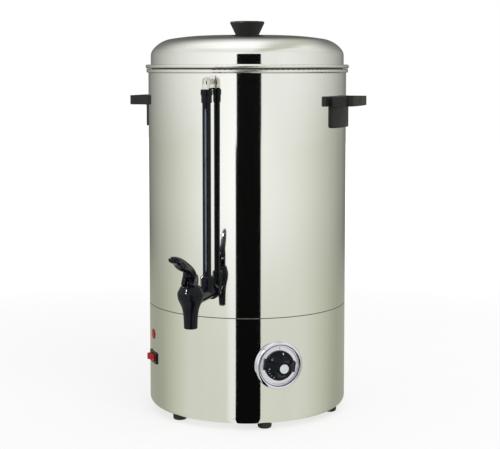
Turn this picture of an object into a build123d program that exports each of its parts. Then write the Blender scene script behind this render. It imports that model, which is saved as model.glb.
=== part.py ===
from build123d import *
import os
from math import cos, degrees, radians, sin, sqrt

# Hot water urn, in millimetres. The origin lies on the tank's axis in the plane of the feet,
# +Z is up, the tap looks towards -Y and the handles stand at -X and +X.

# ---- clearances -------------------------------------------------------------------------
seat_gap = 0.1         # between curved faces that seat on each other
bore_gap = 0.15        # round a fixed piece in its hole, on the radius
running_gap = 0.05     # round a shaft that turns or slides, on the radius
air_gap = 0.3          # beside a piece that moves
past = 5.0             # how far a cutter runs past what it cuts

# ---- body -------------------------------------------------------------------------------
body_d = 270.0
sheet = 1.0            # steel of the tank and the skirt
foot_h = 7.6
foot_d = 18.5
foot_tip_d = 14.0
foot_count = 6
foot_inset = 16.0      # from the wall to a foot's axis
foot_pocket = 3.2      # depth of the screw's pocket in a foot's underside
foot_screw_r = 2.0
foot_head_r = 3.8
foot_head_t = 2.6
foot_nut_r = 4.0       # across the nut's corners
foot_nut_t = 3.2
skirt_h = 139.1
skirt_corner_r = 9.0
skirt_lip = 31.0       # width of the flange turned in under the skirt
seam_h = 1.2
seam_depth = 0.3       # how far the gasket is set back in the seam
tank_h = 318.6
rim_curl_w = 3.6
rim_curl_h = 5.2
rim_bend_r = 1.7
rim_tuck_r = 1.5       # where the curl turns back to the wall
rim_tuck_gap = 0.6     # from the end of the curl to the wall
floor_flange_h = 14.0  # flange of the tank floor below the seam
floor_rise = 8.0       # height of the tank floor above the seam
floor_corner_r = 6.0
floor_dish = 1.5       # fall of the floor towards its middle
floor_dish_r = 8.0
plate_t = 1.5          # base plate
vent_count = 12
vent_ring_r = 55.0
vent_l = 26.0
vent_w = 4.0

# ---- lid --------------------------------------------------------------------------------
lid_sheet = 0.8
lid_wall_inset = 3.4   # from the body's wall to the lid's wall
lid_wall_h = 17.1      # from the lid's lower edge to its shoulder
lid_edge_h = 5.4
lid_edge_over = 1.1    # how far the lid's edge stands past the rim
lid_edge_bend_r = 1.6
lid_edge_root_r = 0.9  # where the edge turns up into the wall
lid_edge_tuck = 2.0    # from the end of the rolled edge to the lid's wall
lid_shoulder_r = 14.0
lid_shoulder_turn = 38.0
lid_haunch_r = 38.5
lid_haunch_turn = 42.5
lid_brow_r = 340.0
lid_brow_turn = 9.0
ring_drop = 11.0       # how far the locating ring drops into the tank
ring_gap = 1.0         # between the ring and the tank's wall
ring_weld_h = 11.1     # how far the ring reaches up inside the lid's wall
ring_lead = 1.0        # how far the ring's lower edge leans in
ring_lead_h = 3.0
knob_foot_d = 31.0
knob_top_d = 47.5
knob_h = 19.2
knob_edge_r = 2.4
knob_screw_d = 5.0
knob_screw_grip = 11.0 # length of the screw's thread in the knob
knob_screw_head_d = 9.2
knob_screw_head_t = 3.4
knob_screw_head_r = 1.6
knob_washer_d = 15.0
knob_washer_t = 1.0

# ---- handles ----------------------------------------------------------------------------
handle_drop = 42.7     # from the rim down to the middle of the grip
handle_h = 12.5
handle_bar_w = 112.0
handle_tab_w = 83.0
handle_tab_h = 35.0    # from the crossbar's middle to the tab's lower edge
handle_plate = 3.4
handle_reach = 25.5    # from the wall to the front of the grip
handle_grip = 8.5
handle_loop_w = 87.0
handle_corner_r = 9.0
handle_bow = 2.5       # how far the front of the grip is bowed
handle_tab_r = 3.5
handle_screw_d = 4.0
handle_screw_side = 24.0
handle_screw_drop = 22.0  # from the grip's middle down to the screws
handle_head_d = 7.2
handle_head_t = 2.6

# ---- tap --------------------------------------------------------------------------------
tap_rise = 34.2        # from the seam up to the shank's axis
tap_reach = 78.0       # from the wall to the spout's axis
spout_tip_d = 16.8
spout_bore_d = 11.6
spout_drop = 33.0      # from the shank's axis to the tip
waist_d = 19.2
waist_drop = 13.0
bonnet_d = 32.6
bonnet_h = 14.0
bonnet_top_d = 21.0
bonnet_rise = 6.5      # from the shank's axis to the bonnet's lower edge
shank_d = 14.5
shank_bore_d = 6.5
shank_inside = 18.0    # how far the shank reaches into the tank
flange_d = 19.5
flange_t = 3.5
locknut_d = 26.0
locknut_t = 6.0
gasket_t = 2.5
sleeve_l = 26.0        # from the spout's axis to the end of the tap's sleeve
sleeve_d = 12.9
spigot_d = 9.6
chamber_d = 23.0
chamber_drop = 6.5     # from the shank's axis to the chamber's floor
seat_h = 2.0           # height of the valve's seat over the chamber's floor
flute_count = 20
flute_r = 0.9
flute_h = 3.6
plug_h = 3.0
guide_h = 4.5
stem_d = 5.6
stem_neck_d = 4.0
collar_h = 1.6
cup_d = 16.0
cup_h = 4.0
cup_grip = 2.6         # length of the stem's neck inside the cup
spring_d = 12.0
spring_wire = 1.0
spring_turns = 5
pin_d = 2.6
pivot_rise = 27.5      # from the shank's axis to the lever's pin
fork_w = 16.4
fork_slot = 7.2
cam_rate = 5.0         # lift of the valve for each radian of the lever, the cam's base radius
pull_angle = 35.0
cam_gap = 0.12         # between the closed lever's cam and the bonnet
cam_run_on = 6.0       # degrees of cam past the pull's end
heel_r = 6.0           # from the pin to the back of the fork
lever_reach = 62.5
lever_rise = 32.8
lever_t = 10.5
lever_w = 13.5

# ---- sight gauge ------------------------------------------------------------------------
gauge_reach = 21.5     # from the wall to the gauge's axis
gauge_d = 10.8
gauge_wall = 1.1
gauge_slot_w = 3.2
glass_d = 7.6
glass_wall = 1.1
gauge_nut_d = 18.7
gauge_nut_h = 12.5
gauge_nut_rise = 11.0  # from the shank's axis to the nut's lower face
guard_seat = 3.0       # how far the guard stands in the nut
glass_seat = 4.5       # how far the glass reaches below the nut
glass_rise = 6.0       # how far the glass reaches into the cap
seal_r = 6.4
seal_h = 4.0
gauge_drop = 41.9      # from the rim down to the upper end of the guard
cap_d = 13.4
cap_flare_d = 15.0
cap_h = 16.4
strap_t = 1.5
strap_w = 9.0
strap_leg_h = 17.0
strap_stud_d = 4.8
strap_stud_l = 6.0     # how far the cap's stud stands over the strap
dome_nut_d = 11.0
dome_nut_h = 14.0
dome_nut_hex_h = 4.5
rivet_d = 4.0
rivet_head_d = 7.2
rivet_head_t = 1.5
rivet_drop = 7.5       # from the top of the strap's leg to the rivet

# ---- dial -------------------------------------------------------------------------------
dial_angle = 36.5
dial_rise = 77.9       # from the skirt's lower edge to the dial's axis
bezel_d = 63.0
bezel_rim = 5.6        # height of the rim's crest over the wall
bezel_seat = 2.2       # height of the flat inner ring over the wall
bezel_groove_d = 51.6
bezel_groove_t = 0.6   # depth of the groove below the inner ring
dial_knob_d = 39.0
dial_flange_t = 3.0
dial_hub_d = 17.4
dial_stand = 20.0      # from the bezel's plate to the front of the hub
dial_disc_d = 11.8
dial_disc_t = 1.0
dial_disc_proud = 0.3
dial_wing_w = 15.0
dial_wing_h = 6.5      # height of a wing at its outer end
dial_wing_over = 1.4   # how far the wings pass the flange
dial_wing_draft = 14.0
dial_wing_tilt = -8.0
shaft_d = 6.0
shaft_grip = 11.5      # length of the shaft in the knob
bushing_r = 5.0
case_w = 34.0
case_h = 44.0
case_depth = 26.0
case_corner_r = 3.0
thermostat_screw_d = 3.0
thermostat_screw_l = 6.0
screw_sides = (-13.0, 13.0)
screw_head_t = 1.6

# ---- switch and lamp --------------------------------------------------------------------
switch_angle = -51.4
switch_rise = 69.2     # from the skirt's lower edge to the switch's middle
switch_w = 30.0
switch_h = 15.8
switch_rim = 1.0
switch_corner_r = 1.2
switch_wall = 2.0
switch_depth = 17.0
well_depth = 13.0
rocker_tilt = 13.0     # the rocker's lean either side of level
rocker_drop = 3.0      # from the wall in to the rocker's axis
rocker_end = 8.4       # height of the rocker's ends over its axis
rocker_dip = 2.6       # how much lower the middle is
rocker_stub_r = 1.5
rocker_stub_l = 1.2
tab_w = 6.3            # blade terminals
tab_t = 0.8
tab_l = 8.0
lamp_rise = 100.5      # from the skirt's lower edge to the lamp's axis
lamp_d = 13.6
lamp_dome_h = 1.6
lamp_edge_h = 0.6
lamp_stem_d = 9.0
lamp_stem_l = 10.0
lamp_clip_w = 3.0
lamp_clip_t = 2.0

# ---- inside the base --------------------------------------------------------------------
heat_plate_d = 150.0
heat_plate_t = 4.0
element_d = 8.0
element_ring_d = 110.0
element_gap = 26.0     # degrees between the element's legs
element_pin_d = 3.2
element_pin_l = 10.0
leg_drop = 22.0
cutoff_d = 16.0
cutoff_h = 10.0
cutoff_place = -22.0   # along Y
bulb_d = 7.0
bulb_l = 60.0
bulb_place = 14.0      # along Y
capillary_d = 2.4
stud_d = 5.0
stud_nut_r = 4.6       # across the nut's corners
stud_nut_t = 4.0
gland_rise = 33.5      # from the skirt's lower edge to the cord inlet's axis
gland_reach = 14.0
gland_bore_d = 8.0
gland_thread_r = 8.0
gland_flange_r = 12.0
gland_nut_r = 12.5     # across the nut's corners
gland_nut_t = 5.0
block_w = 44.0
block_depth = 20.0
block_h = 16.0
block_inset = 41.5     # from the base plate's edge to the block's middle
block_pitch = 14.0
block_hole_r = 2.6

# ---- derived places ---------------------------------------------------------------------
body_r = body_d / 2
inner_r = body_r - sheet
skirt_bottom = foot_h
skirt_top = skirt_bottom + skirt_h
tank_bottom = skirt_top + seam_h
tank_top = tank_bottom + tank_h
floor_top = tank_bottom + floor_rise
lid_bottom = tank_top + air_gap
curl_r = body_r - sheet + rim_curl_w
lid_r = body_r - lid_wall_inset
spout_r = body_r + tap_reach
gauge_r = body_r + gauge_reach
foot_ring_r = body_r - foot_inset
handle_z = tank_top - handle_drop
handle_screw_z = handle_z - handle_screw_drop
tap_z = tank_bottom + tap_rise
gauge_top_z = tank_top - gauge_drop
dial_z = skirt_bottom + dial_rise
switch_z = skirt_bottom + switch_rise
lamp_z = skirt_bottom + lamp_rise
gland_z = skirt_bottom + gland_rise
pivot_z = tap_z + pivot_rise
gauge_nut_z = tap_z + gauge_nut_rise
stud_ring_r = heat_plate_d / 2 + stud_d / 2 + 1.0
floor_flange_r = inner_r - seat_gap
floor_under = floor_top - floor_dish - sheet
heat_top = floor_under - seat_gap
heat_low = heat_top - heat_plate_t
lip_r = body_r - skirt_lip
plate_r = body_r - skirt_corner_r - 0.5
plate_bottom = skirt_bottom + sheet
plate_top = plate_bottom + plate_t
foot_nut_top = plate_top + foot_nut_t
flange_face = body_r + gasket_t
nut_seat = inner_r - gasket_t
collar_face = spout_r - sleeve_l   # where the shank enters the tap's sleeve
chamber_low = tap_z - chamber_drop
seat_top = chamber_low + seat_h
body_top = tap_z + bonnet_rise
bonnet_top = body_top + bonnet_h
cup_top = seat_top + cup_h
stem_foot = cup_top - cup_grip
spring_low = cup_top + collar_h
spring_high = bonnet_top - guide_h
cam_h = pivot_z - bonnet_top - cam_gap
nut_top = gauge_nut_z + gauge_nut_h
guard_low = nut_top - guard_seat
glass_top = gauge_top_z + glass_rise
strap_z = gauge_top_z + cap_h
rivet_z = strap_z + strap_leg_h - rivet_drop
bezel_plate = body_r + bezel_seat
knob_back = bezel_plate + air_gap
dial_front = bezel_plate + dial_stand
thermostat_face = sqrt(inner_r**2 - (case_w / 2) ** 2) - air_gap
screw_seat = bezel_plate - screw_head_t
switch_body_w = switch_w - 3.0
switch_body_h = switch_h - 2.8
rocker_l = switch_body_w - 2 * switch_wall - 2 * air_gap
rocker_h = switch_body_h - 2 * switch_wall - 2 * air_gap
rocker_axis = body_r - rocker_drop


# ---- tools ------------------------------------------------------------------------------
standing = (Align.CENTER, Align.CENTER, Align.MIN)


def save(node, *solids):
    """Writes the separate solids of one node to its STEP file."""
    pieces = [solid for part in solids for solid in part.solids()]
    export_step(pieces[0] if len(pieces) == 1 else Compound(pieces), f"parts/{node}.step")


def turned(face):
    """Turns a face, drawn as (radius, height), about the Z axis."""
    return revolve(Plane.XZ * face, Axis.Z)


def outline(*corners):
    """A straight-edged face through (radius, height) corners."""
    return make_face(Polyline(*corners, close=True))


def disc(radius, low, high, bore=0.0):
    """A round slab or tube between two heights."""
    slab = Pos(0, 0, low) * Cylinder(radius, high - low, align=standing)
    if bore:
        slab -= Pos(0, 0, low - past) * Cylinder(bore, high - low + 2 * past, align=standing)
    return slab


def block(width, depth, low, high):
    """A box centred on the Z axis between two heights."""
    return Pos(0, 0, low) * Box(width, depth, high - low, align=standing)


def sheet_turned(path, thickness, side):
    """Turns a strip of sheet that follows a (radius, height) path."""
    return turned(make_face(offset(path, thickness, side=side)))


def outward(angle, height, radius=0.0):
    """The frame at an angle round the urn from the tap: Z points outward, Y up, X to the right."""
    turn = radians(angle)
    out = Vector(sin(turn), -cos(turn), 0)
    across = Vector(cos(turn), sin(turn), 0)
    return Plane(origin=out * radius + Vector(0, 0, height), x_dir=across, z_dir=out)


def wall_hole(angle, height, radius):
    """A cutter through the urn's wall for a fixed round piece."""
    return outward(angle, height) * disc(radius + bore_gap, inner_r - 2 * past, body_r + past)


def hexagon(corner_r, low, high):
    """A hexagonal block for a nut, upright between two heights."""
    return Pos(0, 0, low) * extrude(RegularPolygon(corner_r, 6), high - low)


def upright(radius, height=0.0):
    """The upright frame on the tap's side at a radius from the tank's axis."""
    return Pos(0, -radius, height)


def outside_wall(solid, gap):
    """What of a solid lies outside the urn's wall, a gap clear of it."""
    return solid - disc(body_r + gap, 0, tank_top)


def inside_wall(solid, gap):
    """What of a solid lies inside the urn's wall, a gap clear of it."""
    return solid & disc(inner_r - gap, 0, tank_top)


# ---- base -------------------------------------------------------------------------------
def foot_places():
    """The feet's places, the first one half a step from the tap."""
    step = 360 / foot_count
    return [Rot(0, 0, step * (i + 0.5) - 90) * Pos(foot_ring_r, 0, 0) for i in range(foot_count)]


def base_skirt():
    path = FilletPolyline(
        (lip_r, skirt_bottom), (body_r, skirt_bottom), (body_r, skirt_top), radius=skirt_corner_r
    )
    skirt = sheet_turned(path, sheet, Side.LEFT)
    for place in foot_places():
        skirt -= place * disc(foot_screw_r + bore_gap, 0, skirt_bottom + past)
    skirt -= wall_hole(dial_angle, dial_z, bushing_r)
    skirt -= outward(dial_angle, dial_z) * screw_holes(inner_r - past, body_r + 1)
    skirt -= outward(switch_angle, switch_z) * block(
        switch_body_w + 2 * bore_gap, switch_body_h + 2 * bore_gap, inner_r - 4 * past, body_r + past
    )
    skirt -= wall_hole(switch_angle, lamp_z, lamp_stem_d / 2)
    skirt -= wall_hole(180, gland_z, gland_thread_r)
    return skirt


def base_plate():
    plate = disc(plate_r, plate_bottom, plate_top)
    for place in foot_places():
        plate -= place * disc(foot_screw_r + bore_gap, 0, plate_top + past)
    for place in stud_places():
        plate -= place * disc(stud_d / 2 + bore_gap, 0, plate_top + past)
    slot = extrude(SlotOverall(vent_l, vent_w), plate_t + 2 * past)
    for vent in PolarLocations(vent_ring_r, vent_count):
        plate -= vent * Pos(0, 0, plate_bottom - past) * slot
    return plate


def rubber_feet():
    """Feet that widen from a rounded tread, each with a pocket for its screw."""
    side = Spline(
        (foot_tip_d / 2, 0),
        (foot_d / 2, foot_h * 0.45),
        (foot_d / 2, foot_h),
        tangents=((1, 0.1), (0, 1)),
    )
    rest = Polyline(side @ 1, (0, foot_h), (0, 0), side @ 0)
    foot = turned(make_face(side + rest))
    foot -= disc(foot_head_r + bore_gap, -past, foot_pocket)
    foot -= disc(foot_screw_r + bore_gap, 0, foot_h + past)
    return [place * foot for place in foot_places()]


def foot_screws():
    screw = disc(foot_head_r, foot_pocket - foot_head_t, foot_pocket)
    screw += disc(foot_screw_r, foot_pocket, foot_nut_top + 2.0)
    return [place * screw for place in foot_places()]


def foot_nuts():
    nut = hexagon(foot_nut_r, plate_top, foot_nut_top)
    nut -= disc(foot_screw_r + running_gap, 0, foot_nut_top + past)
    return [place * nut for place in foot_places()]


def seam_gasket():
    """A ring between the tank's edge and the skirt's edge, set back so that the seam is a groove."""
    return disc(body_r - seam_depth, skirt_top, tank_bottom, inner_r)


# ---- tank -------------------------------------------------------------------------------
def tank_shell():
    """A straight wall whose sheet is rolled outward and down at the rim."""
    curl_bottom = tank_top - rim_curl_h
    path = FilletPolyline(
        (inner_r, tank_bottom),
        (inner_r, tank_top),
        (curl_r, tank_top),
        (curl_r, curl_bottom),
        (body_r + rim_tuck_gap, curl_bottom),
        radius=(rim_bend_r, rim_bend_r, rim_tuck_r),
    )
    shell = sheet_turned(path, sheet, Side.RIGHT)
    shell -= wall_hole(0, tap_z, shank_d / 2)
    shell -= wall_hole(0, rivet_z, rivet_d / 2)
    for angle in handle_screw_angles():
        shell -= wall_hole(angle, handle_screw_z, handle_screw_d / 2)
    return shell


def tank_floor():
    """The floor is a pan whose flange joins the tank to the skirt behind the seam."""
    path = FilletPolyline(
        (0, floor_top - floor_dish),
        (stud_ring_r + stud_d, floor_top - floor_dish),
        (floor_flange_r, floor_top),
        (floor_flange_r, skirt_top - floor_flange_h),
        radius=(floor_dish_r, floor_corner_r),
    )
    return sheet_turned(path, sheet, Side.RIGHT)


def stud_places():
    return [Rot(0, 0, 30 + 120 * i) * Pos(stud_ring_r, 0, 0) for i in range(3)]


# ---- lid --------------------------------------------------------------------------------
def lid_path():
    """The lid's upper side, from its rolled edge over shoulder, haunch and brow to the crown."""
    shoulder_z = lid_bottom + lid_wall_h
    edge_r = curl_r + lid_edge_over - lid_sheet
    edge_low = lid_bottom + lid_sheet
    edge_high = lid_bottom + lid_edge_h - lid_sheet
    edge = FilletPolyline(
        (lid_r + lid_edge_tuck, edge_high),
        (edge_r, edge_high),
        (edge_r, edge_low),
        (lid_r, edge_low),
        (lid_r, shoulder_z),
        radius=(lid_edge_bend_r, lid_edge_bend_r, lid_edge_root_r),
    )
    shoulder = JernArc(edge @ 1, (0, 1), lid_shoulder_r, lid_shoulder_turn)
    haunch = JernArc(shoulder @ 1, shoulder % 1, lid_haunch_r, lid_haunch_turn)
    brow = JernArc(haunch @ 1, haunch % 1, lid_brow_r, lid_brow_turn)
    slope = 90 - lid_shoulder_turn - lid_haunch_turn - lid_brow_turn
    crown = JernArc(brow @ 1, brow % 1, (brow @ 1).X / sin(radians(slope)), slope)
    return edge + shoulder + haunch + brow + crown, (crown @ 1).Y


lid_line, lid_top = lid_path()
knob_screw_seat = lid_top - lid_sheet - seat_gap - knob_washer_t


def lid_dome():
    """The lid's sheet lies under its line at the crown, so the lower of the two strips is the one."""
    strips = [make_face(offset(lid_line, lid_sheet, side=side)) for side in (Side.LEFT, Side.RIGHT)]
    dome = turned(min(strips, key=lambda strip: strip.bounding_box().max.Y))
    return dome - disc(knob_screw_d / 2 + bore_gap, lid_top - past, lid_top + past)


def lid_ring():
    """A turned ring spot-welded inside the lid that drops into the tank and centres the lid."""
    ring_r = inner_r - ring_gap
    ring_low = lid_bottom - ring_drop
    inside_r = lid_r - lid_sheet - seat_gap
    path = FilletPolyline(
        (ring_r - ring_lead, ring_low),
        (ring_r, ring_low + ring_lead_h),
        (ring_r, lid_bottom - 1.6),
        (inside_r, lid_bottom - 0.6),
        (inside_r, lid_bottom + ring_weld_h),
        radius=(0.9, 0.5, 0.5),
    )
    return sheet_turned(path, lid_sheet, Side.LEFT)


def lid_knob():
    """A turned knob with a straight flank and a flat top."""
    top = lid_top + knob_h
    foot_r = knob_foot_d / 2
    top_r = knob_top_d / 2
    flank = Line((foot_r, lid_top), (top_r - 0.3, top - knob_edge_r))
    edge = ThreePointArc(
        flank @ 1, (top_r - knob_edge_r * 0.28, top - knob_edge_r * 0.35), (top_r - knob_edge_r, top)
    )
    rest = Polyline(edge @ 1, (0, top), (0, lid_top), flank @ 0)
    knob = turned(make_face(flank + edge + rest))
    return knob - disc(knob_screw_d / 2, lid_top - past, lid_top + knob_screw_grip)


def lid_knob_washer():
    top = knob_screw_seat + knob_washer_t
    return disc(knob_washer_d / 2, knob_screw_seat, top, knob_screw_d / 2 + bore_gap)


def lid_knob_screw():
    """A slotted screw with a rounded head, from inside the lid into the knob."""
    head_low = knob_screw_seat - knob_screw_head_t
    head = disc(knob_screw_head_d / 2, head_low, knob_screw_seat)
    head = fillet(head.faces().sort_by(Axis.Z)[0].edges(), knob_screw_head_r)
    head -= block(1.2, 2 * knob_screw_head_d, head_low - 1, head_low + 1.1)
    return head + disc(knob_screw_d / 2 - running_gap, knob_screw_seat, lid_top + knob_screw_grip - 0.5)


# ---- handles ----------------------------------------------------------------------------
def handle_screw_angles():
    """The angles of both handles' screws, on the tab below each grip."""
    swing = degrees(handle_screw_side / body_r)
    return [side + lean for side in (90, -90) for lean in (-swing, swing)]


def handle(side):
    """A plate that follows the wall, with a tab for the screws below and a flat loop to hold."""
    frame = outward(side, handle_z)
    inner = body_r + seat_gap
    shoe = disc(inner + handle_plate, handle_z - handle_tab_h, handle_z + handle_h / 2, inner)
    bar = Rectangle(handle_bar_w, handle_h)
    tab = Pos(0, -handle_tab_h / 2) * RectangleRounded(handle_tab_w, handle_tab_h, handle_tab_r)
    plate = shoe & (frame * extrude(bar + tab, body_r + handle_reach))
    grip = loop_outline(inner, 0) - loop_outline(inner, handle_grip)
    ring = Pos(0, 0, handle_z - handle_h / 2) * Rot(0, 0, side) * extrude(grip, handle_h)
    ring -= disc(inner + handle_plate / 2, 0, tank_top)
    body = plate + ring
    for angle in handle_screw_angles():
        frame = outward(angle, handle_screw_z)
        body -= frame * disc(handle_screw_d / 2, body_r - past, inner + handle_plate - 0.8)
    return body


def loop_outline(inner, inset):
    """The handle's loop from above, bowed at the front, with the tap's side of the urn along -Y."""
    half = handle_loop_w / 2 - inset
    front = body_r + handle_reach - inset
    corner = max(handle_corner_r - inset, 2.5)
    root = 0.8 * inner
    neck = front - handle_bow
    sides = Polyline((-half, -neck), (-half, -root), (half, -root), (half, -neck))
    nose = ThreePointArc((half, -neck), (0, -front), (-half, -neck))
    face = make_face(sides + nose)
    return fillet(face.vertices().group_by(Axis.Y)[0], corner)


def handle_screws():
    head_seat = inner_r - seat_gap
    pieces = []
    for angle in handle_screw_angles():
        head = disc(handle_head_d / 2, head_seat - handle_head_t, head_seat)
        shank = disc(handle_screw_d / 2 - running_gap, head_seat, body_r + handle_plate - 1.2)
        pieces.append(outward(angle, handle_screw_z) * (head + shank))
    return pieces


# ---- tap --------------------------------------------------------------------------------
def faucet_shank():
    """A hollow tee: through the tank's wall, up to the gauge and out to the tap."""
    shank = disc(shank_d / 2, inner_r - shank_inside, collar_face)
    shank += disc(flange_d / 2, flange_face, flange_face + flange_t)
    shank += disc(spigot_d / 2, collar_face, spout_r - chamber_d / 2 - 1.0)
    shank = outward(0, tap_z) * shank
    shank += upright(gauge_r) * disc(gauge_nut_d / 2 - 1.2, tap_z, gauge_nut_z)
    shank -= outward(0, tap_z) * disc(shank_bore_d / 2, 0, spout_r)
    glass_low = gauge_nut_z - glass_seat - 0.5
    shank -= upright(gauge_r) * disc(glass_d / 2 + bore_gap, glass_low, gauge_nut_z + past)
    shank -= upright(gauge_r) * disc(glass_d / 2 - glass_wall, tap_z, gauge_nut_z + past)
    return shank


def shank_gaskets():
    """Two gaskets that fit the wall's curve on one side and a flat face on the other."""
    outer = disc(flange_d / 2 - 0.3, body_r - 3, flange_face, shank_d / 2 + bore_gap)
    inner = disc(locknut_d / 2 - 2.0, nut_seat, inner_r + 2, shank_d / 2 + bore_gap)
    frame = outward(0, tap_z)
    return [outside_wall(frame * outer, seat_gap), inside_wall(frame * inner, seat_gap)]


def shank_locknut():
    nut = hexagon(locknut_d / 2, nut_seat - locknut_t, nut_seat)
    nut -= disc(shank_d / 2 + running_gap, nut_seat - locknut_t - past, nut_seat + past)
    return outward(0, tap_z) * nut


def spout_side():
    """The outside of the tap's body, from the tip over the waist to the chamber's rim."""
    tip_r = spout_tip_d / 2
    waist_r = waist_d / 2
    rim_r = bonnet_d / 2 - 0.4
    tip_z = tap_z - spout_drop
    lip = ThreePointArc((tip_r - 1.2, tip_z), (tip_r - 0.35, tip_z + 0.35), (tip_r, tip_z + 1.2))
    bowl = Spline(
        lip @ 1,
        (waist_r, tap_z - waist_drop),
        (waist_r + 2.1, tap_z - waist_drop + 8.0),
        (rim_r, body_top - 2.0),
        tangents=((0.04, 1), (0.3, 1)),
    )
    return lip + bowl, lip @ 0, bowl @ 1


def faucet_body():
    """A bowl with the valve's chamber and seat, a tapered spout and a sleeve for the shank."""
    side, foot, rim = spout_side()
    chamber_r = chamber_d / 2
    bore_r = spout_bore_d / 2
    rest = Polyline(
        rim,
        (rim.X, body_top),
        (chamber_r, body_top),
        (chamber_r, chamber_low + 2.5),
        (chamber_r - 2.5, chamber_low),
        (bore_r + 1.8, chamber_low),
        (bore_r + 1.0, seat_top),
        (bore_r, seat_top),
        (bore_r, foot.Y + 3),
        (foot.X - 0.4, foot.Y),
        foot,
    )
    body = upright(spout_r) * turned(make_face(side + rest))
    sleeve = outward(0, tap_z) * disc(sleeve_d / 2, collar_face + seat_gap, spout_r)
    body += sleeve - upright(spout_r) * disc(chamber_r + 1.5, tap_z - sleeve_d, tap_z + sleeve_d)
    return body - outward(0, tap_z) * disc(spigot_d / 2 + bore_gap, collar_face - 1, spout_r - 3)


def faucet_bonnet():
    """A domed screw cap with a fluted rim, a plug into the chamber and a guide for the stem."""
    rim_r = bonnet_d / 2
    top_r = bonnet_top_d / 2
    low = body_top
    plug_r = chamber_d / 2 - bore_gap
    grip = Line((rim_r - 0.4, low), (rim_r, low + 1.0))
    grip += Line((rim_r, low + 1.0), (rim_r, low + flute_h))
    dome = Spline(
        (rim_r, low + flute_h), (rim_r - 1.9, low + 8.6), (top_r, bonnet_top), tangents=((0, 1), (-1, 0.55))
    )
    rest = Polyline(
        (top_r, bonnet_top),
        (stem_d / 2 + running_gap, bonnet_top),
        (stem_d / 2 + running_gap, bonnet_top - guide_h),
        (spring_d / 2 + 1.2, bonnet_top - guide_h),
        (plug_r - 1.6, low + 3.0),
        (plug_r - 1.6, low - plug_h),
        (plug_r, low - plug_h),
        (plug_r, low),
        (rim_r - 0.4, low),
    )
    cap = turned(make_face(grip + dome + rest))
    for spot in PolarLocations(rim_r + flute_r / 2, flute_count):
        cap -= spot * disc(flute_r, low - past, low + flute_h)
    return upright(spout_r) * cap


def seat_cup():
    """A silicone cup that closes the seat of the spout."""
    cup = outline(
        (0, seat_top),
        (cup_d / 2 - 1.5, seat_top),
        (cup_d / 2, seat_top + 1.2),
        (cup_d / 2 - 2.6, cup_top),
        (0, cup_top),
    )
    neck_hole = disc(stem_neck_d / 2 + running_gap, stem_foot - 0.2, cup_top + past)
    return upright(spout_r) * (turned(cup) - neck_hole)


def valve_stem():
    """The stem carries the cup below, a collar for the spring and an eye for the lever's pin on top."""
    stem = disc(stem_neck_d / 2, stem_foot, cup_top)
    stem += disc(spring_d / 2 - 0.5, cup_top, spring_low)
    stem += disc(stem_d / 2, spring_low, pivot_z)
    stem += Pos(0, 0, pivot_z) * Rot(0, 90, 0) * Cylinder(stem_d / 2, fork_slot - 2 * air_gap)
    stem -= Pos(0, 0, pivot_z) * Rot(0, 90, 0) * Cylinder(pin_d / 2 + running_gap, 2 * fork_w)
    return upright(spout_r) * stem


def valve_spring():
    """The closing spring over the stem's collar, as a sleeve with one ridge for each turn."""
    low = spring_low + seat_gap
    pitch = (spring_high - seat_gap - low) / spring_turns
    crest_r = spring_d / 2 - 0.8
    ridges = [(crest_r - spring_wire / 2, low)]
    for i in range(spring_turns):
        ridges.append((crest_r, low + (i + 0.5) * pitch))
        ridges.append((crest_r - spring_wire / 2, low + (i + 1) * pitch))
    inner = [(radius - spring_wire, height) for radius, height in reversed(ridges)]
    return upright(spout_r) * turned(outline(*ridges, *inner))


def lever_pin():
    return upright(spout_r, pivot_z) * Rot(0, 90, 0) * Cylinder(pin_d / 2, fork_w - 2 * air_gap)


def cam_point(turn):
    """The cam's working edge is the involute of a circle of radius cam_rate about the pin.

    Over a flat bonnet it lifts the pin by cam_rate for each radian, from its rest height cam_h.
    """
    lift = cam_h + cam_rate * turn
    return (-lift * sin(turn) - cam_rate * cos(turn), cam_rate * sin(turn) - lift * cos(turn))


def cam_outline():
    """The fork's side view as (Y, Z) about the pin: a flat heel, then the involute to the front."""
    turns = [radians(pull_angle + cam_run_on) * i / 6 for i in range(7)]
    last = turns[-1]
    edge = Spline(*[cam_point(turn) for turn in turns], tangents=((-1, 0), (-cos(last), sin(last))))
    toe = edge @ 1
    rest = Polyline(
        toe,
        (toe.X + 1.0, toe.Y + 2.6),
        (-5.0, 5.5),
        (3.0, 6.5),
        (heel_r, 1.5),
        (heel_r, -cam_h + 1.6),
        (heel_r - 1.6, -cam_h),
        edge @ 0,
    )
    return make_face(edge + rest)


def faucet_lever():
    """A forked lever: two cam cheeks on the pin, a neck that bridges them and a spoon-shaped paddle."""
    cheeks = Pos(-fork_w / 2, 0, 0) * extrude(Plane.YZ * cam_outline(), fork_w)
    spine = Spline(
        (0, 0.5, 3.0),
        (0, -5.0, 11.0),
        (0, -0.40 * lever_reach, 0.64 * lever_rise),
        (0, -0.69 * lever_reach, 0.90 * lever_rise),
        (0, -0.93 * lever_reach, lever_rise),
        tangents=((0, -0.2, 1), (0, -1, 0.15)),
    )
    stations = (
        (0.0, fork_w - 0.6, 11.0),
        (0.16, fork_w - 1.0, 12.0),
        (0.42, lever_w + 1.0, lever_t + 3.0),
        (0.74, lever_w + 1.0, lever_t + 0.5),
        (0.90, lever_w + 0.5, lever_t - 1.5),
        (0.975, lever_w - 2.5, lever_t - 3.5),
        (1.0, lever_w - 8.0, lever_t - 7.0),
    )
    sections = []
    for at, width, height in stations:
        plane = Plane(origin=spine @ at, x_dir=(1, 0, 0), z_dir=spine % at)
        sections.append(plane * Ellipse(width / 2, height / 2))
    lever = cheeks + loft(sections)
    lever -= block(fork_slot, lever_reach, -cam_h - past, 1.5 * stem_d / 2)
    lever -= Rot(0, 90, 0) * Cylinder(pin_d / 2 + running_gap, 2 * fork_w)
    return upright(spout_r, pivot_z) * lever


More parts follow.
